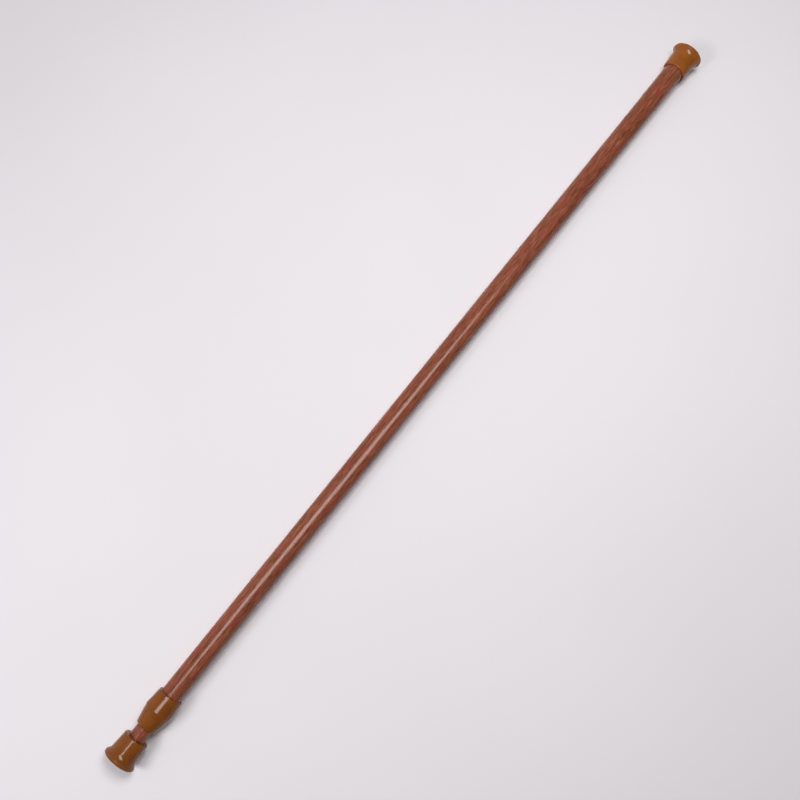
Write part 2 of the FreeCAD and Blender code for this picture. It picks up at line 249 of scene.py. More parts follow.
class MouldingSettings(bpy.types.PropertyGroup):
    """Sizes of the end caps and the collar, and the colours of their plastic."""

    cap_floor: length("Cap floor", "Thickness of a cap's end", 0.0036)
    face_round: length("Face rounding", "Rounding between a cap's face and its rim", 0.0010)
    rim_width: length("Rim width", "Length of a cap's straight rim", 0.0009)
    rim_round: length("Rim rounding", "Rounding between a cap's rim and its flare", 0.0005)
    flare: length("Flare", "Length of the hollow curve behind a cap's rim", 0.0040)
    root: length("Flare's foot", "Radius of a cap where its flare ends", 0.00815)
    mouth: length("Cap mouth", "Radius of a cap at its mouth", 0.0076)
    mouth_round: length("Mouth rounding", "Rounding of the mouths of the caps and the collar", 0.0005)
    groove: length("Grip groove", "Radius of the ring groove in a cap's face", 0.0050)
    groove_width: length("Groove width", "Width of the ring groove", 0.0016)
    groove_depth: length("Groove depth", "Depth of the ring groove", 0.0005)
    groove_round: length("Groove rounding", "Rounding of the ring groove", 0.0003)
    collar_mouth: length("Collar mouth", "Radius of the collar at its mouth", 0.00765)
    crease: length("Collar crease", "Radius of the collar where its cone starts", 0.0085)
    crease_place: length("Crease place", "Distance of the crease from the collar's mouth", 0.0108)
    crease_round: length("Crease rounding", "Rounding of the collar's crease", 0.0020)
    tip: length("Collar tip", "Radius of the collar's small end", 0.0063)
    socket: length("Collar socket", "Depth of the outer tube in the collar", 0.0105)
    slack: length("Slack", "Room round the inner tube in the collar", 0.00015)
    caramel: colour("Caramel", "Colour of the plastic", (0.234, 0.069, 0.0115))
    # Painted light: the fixed cap's caramel is the same plastic made paler, a lit copy standing in for the
    # brighter light on the fixed end.
    caramel_painted_lighter: colour("Fixed caramel", "Colour of the fixed cap's paler plastic", (0.322, 0.096, 0.0165))
    deepening: amount("Deepening", "Share of its colour that the plastic's darker clouds keep", 0.85)
    scuffed: colour("Scuffed", "Colour of the worn rims", (0.29, 0.12, 0.045))
    gloss: amount("Roughness", "Roughness of the plastic where it is unworn", 0.11)
    specular: amount("Specular level", "How strongly the plastic reflects, where 0.5 is usual", 0.25)


class LockSettings(bpy.types.PropertyGroup):
    """Sizes of the spring, and the colours of the hidden pieces."""

    turns: bpy.props.IntProperty(
        name="Open turns", description="Turns of the spring between its closed ends", default=8, min=1
    )
    wire: length("Wire", "Diameter of the spring's wire", 0.0009)
    end_pitch: length("End pitch", "Rise of the closed turn at each end", 0.0011)
    coil: length("Coil", "Radius of the turns, to the middle of the wire", 0.00335)
    nylon_pale: colour("Pale nylon", "Colour of the lock's mouldings", (0.74, 0.72, 0.65))
    nylon_dark: colour("Dull nylon", "Colour of the mouldings' clouds", (0.63, 0.60, 0.52))
    zinc_pale: colour("Bright zinc", "Colour of the plated steel", (0.62, 0.62, 0.63))
    zinc_dark: colour("Dull zinc", "Colour of the plating's spangle", (0.47, 0.475, 0.50))
    rubber_pale: colour("Dusty rubber", "Colour of the dust on the rubber washer", (0.055, 0.053, 0.050))
    rubber_dark: colour("Rubber", "Colour of the rubber washer", (0.018, 0.018, 0.018))


class StageSettings(bpy.types.PropertyGroup):
    """The table, the light and the camera."""

    table: colour("Table", "Colour of the table", (0.86, 0.83, 0.86))
    table_dark: colour("Table clouds", "Colour of the table's faint clouds", (0.84, 0.81, 0.84))
    backdrop: colour("Backdrop", "Colour that is seen beyond the table", (0.66, 0.64, 0.66))
    fill: amount("Fill light", "Strength of the light from the bright side of the room", 0.40)
    dim_fill: amount("Dim fill light", "Strength of the light from the dim side of the room", 0.05)
    mirrored: amount("Reflection", "Strength of the backdrop in reflections, on the bright side", 1.0)
    dim_mirrored: amount("Dim reflection", "Strength of the backdrop in reflections, on the dim side", 0.12)
    ceiling: amount("Ceiling", "Share of the reflections that is left overhead", 0.2)
    shine: amount("Shine", "Power of the panel that is only seen in reflections, in watts", 17.0, 100.0)
    near: amount("Near lamp", "Power of the lamp beyond the sliding end, in watts", 3.2, 100.0)
    far: amount("Far lamp", "Power of the lamp above the fixed end, in watts", 4.0, 100.0)
    azimuth: bpy.props.FloatProperty(
        name="Azimuth", description="Where the camera stands round the rod",
        default=math.radians(128.458), subtype="ANGLE", unit="ROTATION",
    )
    elevation: bpy.props.FloatProperty(
        name="Elevation", description="How far the camera looks down",
        default=math.radians(79.594), subtype="ANGLE", unit="ROTATION",
    )
    distance: length("Distance", "From the camera to the point it looks at", 0.59046)
    aim: bpy.props.FloatVectorProperty(
        name="Aim", description="The point that the camera looks at", default=(0.29049, -0.00437, 0.0),
        subtype="TRANSLATION", unit="LENGTH",
    )
    lens: bpy.props.FloatProperty(
        name="Lens", description="Focal length", default=44.402, min=1.0, unit="CAMERA"
    )


class RodSettings(bpy.types.PropertyGroup):
    """All the settings of the rod's looks."""

    tubes: bpy.props.PointerProperty(type=TubeSettings, name="Tubes", description="The two tubes")
    mouldings: bpy.props.PointerProperty(
        type=MouldingSettings, name="Mouldings", description="The end caps and the collar"
    )
    lock: bpy.props.PointerProperty(type=LockSettings, name="Lock", description="The hidden pieces")
    stage: bpy.props.PointerProperty(
        type=StageSettings, name="Stage", description="The table, the light and the camera"
    )


# Nodes

def put(tree, kind, given=None, **settings):
    """A node with its settings, and its inputs set or linked."""
    made = tree.nodes.new(kind)
    for name, setting in settings.items():
        setattr(made, name, setting)
    for key, source in (given or {}).items():
        if isinstance(source, bpy.types.NodeSocket):
            tree.links.new(source, made.inputs[key])
        else:
            made.inputs[key].default_value = source
    return made


def work_out(tree, operation, first, second=0.0):
    """The result of a Math node."""
    return put(tree, "ShaderNodeMath", {0: first, 1: second}, operation=operation).outputs[0]


def scaled(tree, vector, factors):
    """A vector with each of its parts multiplied by its own factor."""
    return put(tree, "ShaderNodeVectorMath", {0: vector, 1: factors}, operation="MULTIPLY").outputs[0]


def span(tree, vector):
    """The length of a vector."""
    return put(tree, "ShaderNodeVectorMath", {0: vector}, operation="LENGTH").outputs["Value"]


def spread(tree, factor, values, limits):
    """A value taken smoothly from one to another as the factor goes from one limit to the other."""
    (low, high), (start, end) = values, limits
    given = {"Value": factor, "From Min": start, "From Max": end, "To Min": low, "To Max": high}
    return put(tree, "ShaderNodeMapRange", given, interpolation_type="SMOOTHSTEP").outputs["Result"]


def between(tree, factor, first, second):
    """A value between two others."""
    given = {MIX_FACTOR: factor, MIX_FIRST_VALUE: first, MIX_SECOND_VALUE: second}
    return put(tree, "ShaderNodeMix", given, data_type="FLOAT").outputs[MIX_VALUE]


def mixed(tree, factor, first, second):
    """A colour between two others."""
    given = {MIX_FACTOR: factor, MIX_FIRST_COLOUR: first, MIX_SECOND_COLOUR: second}
    return put(tree, "ShaderNodeMix", given, data_type="RGBA").outputs[MIX_COLOUR]


def opaque(given):
    """A setting's colour with its alpha."""
    return (*given, 1.0)


def tinted(tree, ground, mask, limits, tint, most=1.0):
    """A ground colour that turns to a tint, fully or only so far, as a mask goes between its limits."""
    return mixed(tree, spread(tree, mask, (0.0, most), limits), ground, opaque(tint))


def new_tree(name, kind, inputs, outputs):
    """An empty node group with named inputs and outputs, and the nodes that hold them."""
    tree = bpy.data.node_groups.new(name, kind)
    for title, socket in inputs:
        tree.interface.new_socket(name=title, in_out="INPUT", socket_type=socket)
    for title, socket in outputs:
        tree.interface.new_socket(name=title, in_out="OUTPUT", socket_type=socket)
    return tree, tree.nodes.new("NodeGroupInput").outputs, tree.nodes.new("NodeGroupOutput").inputs


def streaks_group():
    """A shader group: fine streaks along the rod, of a given length and width."""
    name = "Lengthwise streaks"
    if name in bpy.data.node_groups:
        return bpy.data.node_groups[name]
    tree, given, result = new_tree(name, "ShaderNodeTree", [
        ("Vector", "NodeSocketVector"),
        ("Length", "NodeSocketFloat"),
        ("Width", "NodeSocketFloat"),
    ], [("Streak", "NodeSocketFloat")])
    along = work_out(tree, "DIVIDE", 1.0, given["Length"])
    across = work_out(tree, "DIVIDE", 1.0, given["Width"])
    scale = put(tree, "ShaderNodeCombineXYZ", {"X": along, "Y": across, "Z": across}).outputs[0]
    place = scaled(tree, given["Vector"], scale)
    noise = {"Vector": place, "Scale": 1.0, "Detail": NOISE_DETAIL, "Roughness": STREAK_ROUGHNESS}
    tree.links.new(put(tree, "ShaderNodeTexNoise", noise).outputs["Fac"], result["Streak"])
    return tree


def clouds_group():
    """A shader group: soft clouds of a given size."""
    name = "Clouds"
    if name in bpy.data.node_groups:
        return bpy.data.node_groups[name]
    tree, given, result = new_tree(name, "ShaderNodeTree", [
        ("Vector", "NodeSocketVector"),
        ("Size", "NodeSocketFloat"),
    ], [("Cloud", "NodeSocketFloat")])
    scale = work_out(tree, "DIVIDE", 1.0, given["Size"])
    noise = {"Vector": given["Vector"], "Scale": scale, "Detail": NOISE_DETAIL}
    tree.links.new(put(tree, "ShaderNodeTexNoise", noise).outputs["Fac"], result["Cloud"])
    return tree


def new_material(name):
    """A node material, with its tree, its shader and its object coordinates."""
    material = bpy.data.materials.new(name)
    material.use_nodes = True
    tree = material.node_tree
    shader = tree.nodes["Principled BSDF"]
    place = tree.nodes.new("ShaderNodeTexCoord").outputs["Object"]
    return material, tree, shader, place


def add_streaks(tree, place, long, wide):
    """The mask of streaks of a given length and width."""
    given = {"Vector": place, "Length": long, "Width": wide}
    return put(tree, "ShaderNodeGroup", given, node_tree=streaks_group()).outputs["Streak"]


def add_clouds(tree, place, size):
    """The mask of clouds of a given size."""
    given = {"Vector": place, "Size": size}
    return put(tree, "ShaderNodeGroup", given, node_tree=clouds_group()).outputs["Cloud"]


def add_bump(tree, shader, height, strength, distance):
    """Raises a shader's surface by a height mask."""
    given = {"Height": height, "Strength": strength, "Distance": distance}
    tree.links.new(put(tree, "ShaderNodeBump", given).outputs["Normal"], shader.inputs["Normal"])


def film_material(settings):
    """Satin wood-grain film: long bands, finer lines, red patches and short dark pores."""
    material, tree, shader, place = new_material("wood_film")
    bands = add_streaks(tree, place, *FILM_BANDS)
    lines = add_streaks(tree, place, *FILM_LINES)
    patches = add_streaks(tree, place, *FILM_PATCHES)
    pores = spread(tree, add_streaks(tree, place, *FILM_PORES), (0.0, PORE_MOST), PORE_LIMITS)
    shade = between(tree, BAND_SHARE, lines, bands)
    ground = tinted(tree, opaque(settings.dark), shade, MIDDLE_LIMITS, settings.middle)
    ground = tinted(tree, ground, shade, PALE_LIMITS, settings.pale)
    ground = tinted(tree, ground, patches, RED_LIMITS, settings.red, RED_MOST)
    ground = mixed(tree, pores, ground, opaque(settings.dark))
    tree.links.new(ground, shader.inputs["Base Color"])
    tree.links.new(spread(tree, lines, FILM_ROUGHNESS, NOISE_LIMITS), shader.inputs["Roughness"])
    shader.inputs["Specular IOR Level"].default_value = settings.specular
    add_bump(tree, shader, work_out(tree, "SUBTRACT", lines, pores), *FILM_BUMP)
    return material


def plastic_material(name, caramel, settings):
    """Glossy caramel-brown moulding: faint clouds and flow marks, and scuffs on the widest rims."""
    material, tree, shader, place = new_material(name)
    deep = Vector(caramel) * settings.deepening
    clouds = add_clouds(tree, place, PLASTIC_CLOUDS)
    grain = add_clouds(tree, place, PLASTIC_GRAIN)
    flow = add_streaks(tree, place, *PLASTIC_FLOW)
    ground = tinted(tree, opaque(deep), clouds, NOISE_LIMITS, caramel)
    ground = tinted(tree, ground, flow, FLOW_LIMITS, deep, FLOW_MOST)
    radius = span(tree, scaled(tree, place, ACROSS))
    rim = reach("fixed_end_cap")
    worn = spread(tree, radius, (0.0, 1.0), (rim - WORN_DEPTH, rim))
    scuffs = spread(tree, add_clouds(tree, place, PLASTIC_SCUFFS), (0.0, SCUFF_MOST), SCUFF_LIMITS)
    wear = work_out(tree, "MULTIPLY", worn, scuffs)
    tree.links.new(mixed(tree, wear, ground, opaque(settings.scuffed)), shader.inputs["Base Color"])
    smooth = spread(tree, grain, (settings.gloss, settings.gloss + GRAIN_ROUGHNESS), SOFT_LIMITS)
    roughness = work_out(tree, "ADD", smooth, work_out(tree, "MULTIPLY", wear, WORN_ROUGHNESS))
    tree.links.new(roughness, shader.inputs["Roughness"])
    shader.inputs["Specular IOR Level"].default_value = settings.specular
    add_bump(tree, shader, clouds, *PLASTIC_BUMP)
    return material


def collar_plastic(settings):
    """The plastic of the collar and the sliding cap, made once."""
    name = "caramel_plastic"
    return bpy.data.materials.get(name) or plastic_material(name, settings.caramel, settings)


def nylon_material(settings):
    """Natural nylon, a little cloudy."""
    material, tree, shader, place = new_material("natural_nylon")
    clouds = add_clouds(tree, place, NYLON_CLOUDS)
    grain = add_clouds(tree, place, NYLON_GRAIN)
    ground = tinted(tree, opaque(settings.nylon_pale), clouds, NYLON_LIMITS, settings.nylon_dark)
    tree.links.new(ground, shader.inputs["Base Color"])
    tree.links.new(spread(tree, grain, NYLON_ROUGHNESS, SOFT_LIMITS), shader.inputs["Roughness"])
    add_bump(tree, shader, grain, *NYLON_BUMP)
    return material


def zinc_material(settings):
    """Zinc-plated steel, with drawing lines and a faint spangle, made once."""
    name = "zinc_steel"
    if name in bpy.data.materials:
        return bpy.data.materials[name]
    material, tree, shader, place = new_material(name)
    spangle = add_clouds(tree, place, ZINC_SPANGLE)
    lines = add_streaks(tree, place, *ZINC_LINES)
    ground = tinted(tree, opaque(settings.zinc_pale), spangle, NOISE_LIMITS, settings.zinc_dark)
    tree.links.new(ground, shader.inputs["Base Color"])
    shader.inputs["Metallic"].default_value = 1.0
    tree.links.new(spread(tree, lines, ZINC_ROUGHNESS, NOISE_LIMITS), shader.inputs["Roughness"])
    add_bump(tree, shader, lines, *ZINC_BUMP)
    return material


def rubber_material(settings):
    """Black rubber with a little dust."""
    material, tree, shader, place = new_material("black_rubber")
    dust = add_clouds(tree, place, RUBBER_DUST)
    ground = tinted(tree, opaque(settings.rubber_dark), dust, DUST_LIMITS, settings.rubber_pale, DUST_MOST)
    tree.links.new(ground, shader.inputs["Base Color"])
    tree.links.new(spread(tree, dust, RUBBER_ROUGHNESS, SOFT_LIMITS), shader.inputs["Roughness"])
    add_bump(tree, shader, dust, *RUBBER_BUMP)
    return material


def table_material(settings):
    """A pale table with faint clouds, which fades out far from the rod and is clear from underneath."""
    material, tree, shader, place = new_material("pale_table")
    clouds = add_clouds(tree, place, TABLE_CLOUDS)
    ground = tinted(tree, opaque(settings.table), clouds, NOISE_LIMITS, settings.table_dark)
    tree.links.new(ground, shader.inputs["Base Color"])
    shader.inputs["Roughness"].default_value = TABLE_ROUGHNESS
    shader.inputs["Specular IOR Level"].default_value = TABLE_SPECULAR
    vectors = {0: place, 1: (*TABLE_MIDDLE, cad_low.z)}
    away = put(tree, "ShaderNodeVectorMath", vectors, operation="SUBTRACT").outputs[0]
    away = span(tree, scaled(tree, away, (1.0, TABLE_NARROWING, 1.0)))
    faded = spread(tree, away, (0.0, 1.0), (TABLE_FADE, TABLE_REACH))
    under = tree.nodes.new("ShaderNodeNewGeometry").outputs["Backfacing"]
    unseen = work_out(tree, "MAXIMUM", faded, under)
    clear = tree.nodes.new("ShaderNodeBsdfTransparent").outputs["BSDF"]
    surface = put(tree, "ShaderNodeMixShader", {0: unseen, 1: shader.outputs["BSDF"], 2: clear}).outputs[0]
    tree.links.new(surface, tree.nodes["Material Output"].inputs["Surface"])
    return material


# Outlines, as places along the rod with their radii

def hollow_arc(start, end, radius, steps):
    """Corners between start and end, on an arc that is hollow seen from outside."""
    start, end = Vector(start), Vector(end)
    chord = end - start
    out = Vector((-chord.y, chord.x)).normalized()
    if out.y < 0.0:
        out = -out
    rise = math.sqrt(radius ** 2 - chord.length_squared / 4.0)
    centre = (start + end) / 2.0 + out * rise
    first, last = (math.atan2(*reversed(point - centre)) for point in (start, end))
    turn = (last - first + math.pi) % (2.0 * math.pi) - math.pi
    corners = []
    for step in range(1, steps):
        angle = first + turn * step / steps
        corners.append((centre.x + radius * math.cos(angle), centre.y + radius * math.sin(angle), 0.0))
    return corners


def rounded(corners, closed):
    """An outline's points, with each corner rounded by its own radius and the flats held flat."""
    count = len(corners)
    points = []
    for index, (along, out, radius) in enumerate(corners):
        corner = Vector((along, out))
        inside = closed or 0 < index < count - 1
        if radius == 0.0 or not inside:
            points.append(corner)
            continue
        before = Vector(corners[index - 1][:2]) - corner
        after = Vector(corners[(index + 1) % count][:2]) - corner
        half = before.angle(after) / 2.0
        trim = min(radius / math.tan(half), TRIM_SHARE * before.length, TRIM_SHARE * after.length)
        middle = (before.normalized() + after.normalized()).normalized()
        centre = corner + middle * (trim / math.cos(half))
        first = corner + before.normalized() * trim - centre
        turn = first.angle_signed(corner + after.normalized() * trim - centre)
        for step in range(ROUND_STEPS + 1):
            angle = -turn * step / ROUND_STEPS
            cosine, sine = math.cos(angle), math.sin(angle)
            offset = Vector((first.x * cosine - first.y * sine, first.x * sine + first.y * cosine))
            points.append(centre + offset)
    return held_flat(points, closed)


def held_flat(points, closed):
    """The points with two more on each long straight, close to its ends, so that it shades flat."""
    kept = []
    for index, point in enumerate(points):
        kept.append(point)
        if index == len(points) - 1 and not closed:
            break
        step = points[(index + 1) % len(points)] - point
        if step.length > LONG_STRAIGHT:
            kept.append(point + step.normalized() * FLAT_EDGE)
            kept.append(point + step - step.normalized() * FLAT_EDGE)
    return kept


# Meshes

def turned_tree():
    """A geometry tree that carries an outline round the rod's axis."""
    name = "Turned form"
    if name in bpy.data.node_groups:
        return bpy.data.node_groups[name]
    tree, given, result = new_tree(name, "GeometryNodeTree", [
        ("Outline", "NodeSocketGeometry"),
        ("Sides", "NodeSocketInt"),
        ("Material", "NodeSocketMaterial"),
    ], [("Geometry", "NodeSocketGeometry")])
    outline = put(tree, "GeometryNodeMeshToCurve", {"Mesh": given["Outline"]}).outputs[0]
    ring = {"Resolution": given["Sides"], "Radius": PATH_RADIUS}
    path = put(tree, "GeometryNodeCurvePrimitiveCircle", ring).outputs["Curve"]
    skin = put(tree, "GeometryNodeCurveToMesh", {"Curve": path, "Profile Curve": outline}).outputs[0]
    skin = put(tree, "GeometryNodeMergeByDistance", {"Geometry": skin, "Distance": SAME_POINT}).outputs[0]
    quarter_turn = {"Geometry": skin, "Rotation": (0.0, -math.pi / 2.0, 0.0)}
    skin = put(tree, "GeometryNodeTransform", quarter_turn).outputs[0]
    skin = put(tree, "GeometryNodeSetShadeSmooth", {"Geometry": skin}).outputs[0]
    skin = put(tree, "GeometryNodeRealizeInstances", {"Geometry": skin}).outputs[0]
    skin = put(tree, "GeometryNodeSetMaterial", {"Geometry": skin, "Material": given["Material"]}).outputs[0]
    tree.links.new(skin, result["Geometry"])
    return tree


def wound_tree():
    """A geometry tree that winds a spring: open turns, with a closed turn at each end."""
    name = "Wound wire"
    if name in bpy.data.node_groups:
        return bpy.data.node_groups[name]
    tree, given, result = new_tree(name, "GeometryNodeTree", [
        ("Start", "NodeSocketFloat"),
        ("Turns", "NodeSocketInt"),
        ("Open Pitch", "NodeSocketFloat"),
        ("End Pitch", "NodeSocketFloat"),
        ("Coil", "NodeSocketFloat"),
        ("Wire", "NodeSocketFloat"),
        ("Points", "NodeSocketInt"),
        ("Material", "NodeSocketMaterial"),
    ], [("Geometry", "NodeSocketGeometry")])
    line = put(tree, "GeometryNodeCurvePrimitiveLine", {"End": (1.0, 0.0, 0.0)}).outputs["Curve"]
    line = put(tree, "GeometryNodeResampleCurve", {"Curve": line, "Count": given["Points"]}).outputs["Curve"]
    position = tree.nodes.new("GeometryNodeInputPosition").outputs[0]
    done = put(tree, "ShaderNodeSeparateXYZ", {0: position}).outputs["X"]
    turned = work_out(tree, "MULTIPLY", done, work_out(tree, "ADD", given["Turns"], CLOSED_TURNS))
    opened = work_out(tree, "MAXIMUM", work_out(tree, "SUBTRACT", turned, 1.0), 0.0)
    opened = work_out(tree, "MINIMUM", opened, given["Turns"])
    closed = work_out(tree, "SUBTRACT", turned, opened)
    along = work_out(tree, "MULTIPLY", opened, given["Open Pitch"])
    along = work_out(tree, "ADD", along, work_out(tree, "MULTIPLY", closed, given["End Pitch"]))
    along = work_out(tree, "ADD", along, given["Start"])
    angle = work_out(tree, "MULTIPLY", turned, 2.0 * math.pi)
    across = work_out(tree, "MULTIPLY", work_out(tree, "COSINE", angle), given["Coil"])
    up = work_out(tree, "MULTIPLY", work_out(tree, "SINE", angle), given["Coil"])
    spot = put(tree, "ShaderNodeCombineXYZ", {"X": along, "Y": across, "Z": up}).outputs[0]
    path = put(tree, "GeometryNodeSetPosition", {"Geometry": line, "Position": spot}).outputs[0]
    section = {"Resolution": WIRE_SIDES, "Radius": work_out(tree, "DIVIDE", given["Wire"], 2.0)}
    section = put(tree, "GeometryNodeCurvePrimitiveCircle", section).outputs["Curve"]
    sweep = {"Curve": path, "Profile Curve": section, "Fill Caps": True}
    skin = put(tree, "GeometryNodeCurveToMesh", sweep).outputs[0]
    skin = put(tree, "GeometryNodeSetShadeSmooth", {"Geometry": skin}).outputs[0]
    skin = put(tree, "GeometryNodeRealizeInstances", {"Geometry": skin}).outputs[0]
    skin = put(tree, "GeometryNodeSetMaterial", {"Geometry": skin, "Material": given["Material"]}).outputs[0]
    tree.links.new(skin, result["Geometry"])
    return tree


def grown(name, mesh, tree, values):
    """The plain mesh object that a geometry tree makes from a mesh and its named inputs."""
    piece = bpy.data.objects.new(name, mesh)
    bpy.context.scene.collection.objects.link(piece)
    modifier = piece.modifiers.new(tree.name, "NODES")
    modifier.node_group = tree
    for item in tree.interface.items_tree:
        if item.in_out == "INPUT" and item.name in values:
            modifier[item.identifier] = values[item.name]
    depsgraph = bpy.context.evaluated_depsgraph_get()
    made = bpy.data.meshes.new_from_object(piece.evaluated_get(depsgraph), depsgraph=depsgraph)
    piece.modifiers.remove(modifier)
    piece.data = made
    made.name = name
    bpy.data.meshes.remove(mesh)
    return piece


def turned_piece(name, corners, material, closed):
    """A piece turned about the rod's axis from its outline's corners."""
    points = rounded(corners, closed)
    mesh = bpy.data.meshes.new(name)
    spots = [(point.y - PATH_RADIUS, point.x, 0.0) for point in points]
    links = [(index, index + 1) for index in range(len(points) - 1)]
    if closed:
        links.append((len(points) - 1, 0))
    mesh.from_pydata(spots, links, [])
    piece = grown(name, mesh, turned_tree(), {"Sides": TURN_SIDES, "Material": material})
    shell = bmesh.new()
    shell.from_mesh(piece.data)
    bmesh.ops.recalc_face_normals(shell, faces=shell.faces)
    shell.to_mesh(piece.data)
    shell.free()
    return piece


def settle(piece, node, body):
    """Lets a piece stand for a packed one: it goes on the packed one's body, and the packed one is hidden.
    """
    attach(piece, body)
    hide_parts(node)


def bead(middle, radius, settings, step):
    """Three corners of a bead rolled into a tube, in the direction of step."""
    half = settings.bead_width / 2.0 * step
    return [
        (middle - half, radius, settings.bead_round),
        (middle, radius - settings.bead_depth, settings.bead_round),
        (middle + half, radius, settings.bead_round),
    ]


def tube_corners(node, settings, beads=()):
    """Corners of a tube's wall: out along its film, and back along its bore."""
    start, end = ends(node)
    radius = reach(node)
    bore = radius - settings.wall
    corners = [(start, bore, settings.edge), (start, radius, settings.edge)]
    for middle in beads:
        corners += bead(middle, radius, settings, 1)
    corners += [(end, radius, settings.edge), (end, bore, settings.edge)]
    for middle in reversed(beads):
        corners += bead(middle, bore, settings, -1)
    return corners


def finish_tube(piece, radius, settings, steel):
    """Presses the film's seam into the underside, and gives the bore its bare steel."""
    for vertex in piece.data.vertices:
        out = math.hypot(vertex.co.y, vertex.co.z)
        if out > radius - settings.seam / 2.0 and vertex.co.z < 0.0 and abs(vertex.co.y) < SAME_POINT:
            vertex.co.z += settings.seam
    piece.data.materials.append(steel)
    for face in piece.data.polygons:
        if face.normal.y * face.center.y + face.normal.z * face.center.z < 0.0:
            face.material_index = 1


class ROD_OT_make_tubes(bpy.types.Operator):
    """Makes the two film-covered tubes, with a seam along each and the inner tube's rolled beads"""

    bl_idname = "rod.make_tubes"
    bl_label = "Tubes"

    def execute(self, context):
        settings = context.scene.tension_rod.tubes
        film = film_material(settings)
        steel = zinc_material(context.scene.tension_rod.lock)
        crimp = (ends("inner_tube")[0] + ends("tube_bush")[1]) / 2.0
        stop = ends("stop_washer")[1] + settings.bead_width / 2.0
        for node, body, beads in (("outer_tube", "outer", ()), ("inner_tube", "inner", (crimp, stop))):
            piece = turned_piece(f"{node}_film", tube_corners(node, settings, beads), film, True)
            finish_tube(piece, reach(node), settings, steel)
            settle(piece, node, body)
        return {"FINISHED"}


def cap_corners(settings, flange, long, socket):
    """Corners of an end cap from the middle of its face to the middle of its floor."""
    rim_end = settings.face_round + settings.rim_width
    foot = rim_end + settings.flare
    drop = flange - settings.root
    flare_radius = (settings.flare ** 2 + drop ** 2) / (2.0 * drop)
    half_groove = settings.groove_width / 2.0
    return [
        (0.0, 0.0, 0.0),
        (0.0, settings.groove - half_groove, settings.groove_round),
        (settings.groove_depth, settings.groove, settings.groove_round),
        (0.0, settings.groove + half_groove, settings.groove_round),
        (0.0, flange, settings.face_round),
        (rim_end, flange, settings.rim_round),
        *hollow_arc((rim_end, flange), (foot, settings.root), flare_radius, FLARE_STEPS),
        (foot, settings.root, 0.0),
        (long, settings.mouth, settings.mouth_round),
        (long, socket, settings.mouth_round / 2.0),
        (settings.cap_floor, socket, 0.0),
        (settings.cap_floor, 0.0, 0.0),
    ]


class ROD_OT_make_end_caps(bpy.types.Operator):
    """Makes the two flared end caps, with rounded rims and a ring groove in each face"""

    bl_idname = "rod.make_end_caps"
    bl_label = "End caps"

    def execute(self, context):
        settings = context.scene.tension_rod.mouldings
        # The fixed cap wears a lighter copy of the plastic, which is painted light for its brighter end.
        pale = plastic_material("caramel_plastic_pale", settings.caramel_painted_lighter, settings)
        plastic = collar_plastic(settings)
        for node, body, tube, way, material in (
            ("fixed_end_cap", "outer", "outer_tube", 1, pale),
            ("sliding_end_cap", "inner", "inner_tube", -1, plastic),
        ):
            start, end = ends(node)
            face = start if way == 1 else end
            corners = cap_corners(settings, reach(node), end - start, reach(tube))
            placed = [(face + way * along, out, radius) for along, out, radius in corners]
            piece = turned_piece(f"{node}_moulding", placed, material, False)
            settle(piece, node, body)
        return {"FINISHED"}


class ROD_OT_make_collar(bpy.types.Operator):
    """Makes the barrel collar on the outer tube's mouth"""

    bl_idname = "rod.make_collar"
    bl_label = "Collar"

    def execute(self, context):
        settings = context.scene.tension_rod.mouldings
        plastic = collar_plastic(settings)
        start, end = ends("collar")
        tube = reach("outer_tube")
        bore = reach("inner_tube") + settings.slack
        small = settings.mouth_round
        crease = start + settings.crease_place
        shoulder = start + settings.socket
        corners = [
            (start, tube, small / 2.0),
            (start, settings.collar_mouth, small),
            (crease, settings.crease, settings.crease_round),
            (end, settings.tip, small),
            (end, bore, small / 2.0),
            (shoulder, bore, 0.0),
            (shoulder, tube, 0.0),
        ]
        piece = turned_piece("collar_moulding", corners, plastic, True)
        settle(piece, "collar", "outer")
        return {"FINISHED"}


class ROD_OT_make_spring(bpy.types.Operator):
    """Winds the spring between the push rod's head and the stop washer"""

    bl_idname = "rod.make_spring"
    bl_label = "Spring"

    def execute(self, context):
        settings = context.scene.tension_rod.lock
        start, end = ends("push_rod")[1], ends("stop_washer")[0]
        wound = end - start - settings.wire - CLOSED_TURNS * settings.end_pitch
        values = {
            "Start": start + settings.wire / 2.0,
            "Turns": settings.turns,
            "Open Pitch": wound / settings.turns,
            "End Pitch": settings.end_pitch,
            "Coil": settings.coil,
            "Wire": settings.wire,
            "Points": (settings.turns + CLOSED_TURNS) * TURN_POINTS + 1,
            "Material": zinc_material(settings),
        }
        piece = grown("spring_wire", bpy.data.meshes.new("spring_wire"), wound_tree(), values)
        settle(piece, "spring", "lock")
        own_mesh(piece)
        return {"FINISHED"}


class ROD_OT_finish_lock(bpy.types.Operator):
    """Gives the hidden pieces of the twist lock their nylon, zinc and rubber"""

    bl_idname = "rod.finish_lock"
    bl_label = "Lock"

    def execute(self, context):
        settings = context.scene.tension_rod.lock
        finishes = {
            nylon_material(settings): ("cam_ring", "cam_shaft", "guide_ring", "tube_bush"),
            zinc_material(settings): ("push_rod", "cam_screw", "cam_washer", "stop_washer"),
            rubber_material(settings): ("buffer_washer",),
        }
        for material, nodes in finishes.items():
            for node in nodes:
                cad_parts[node].material_slots[0].material = material
        return {"FINISHED"}


def panel_light(name, place, size, watts, mirrored, turn=0.0):
    """A panel facing down that the camera doesn't see: it only shows in reflections, or it only lights."""
    lamp = bpy.data.lights.new(name, "AREA")
    lamp.shape = "RECTANGLE"
    lamp.size, lamp.size_y = size
    lamp.energy = watts
    light = bpy.data.objects.new(name, lamp)
    light.location = place
    light.rotation_euler.z = turn
    light.visible_camera = False
    light.visible_glossy = mirrored
    light.visible_diffuse = not mirrored
    bpy.context.scene.collection.objects.link(light)


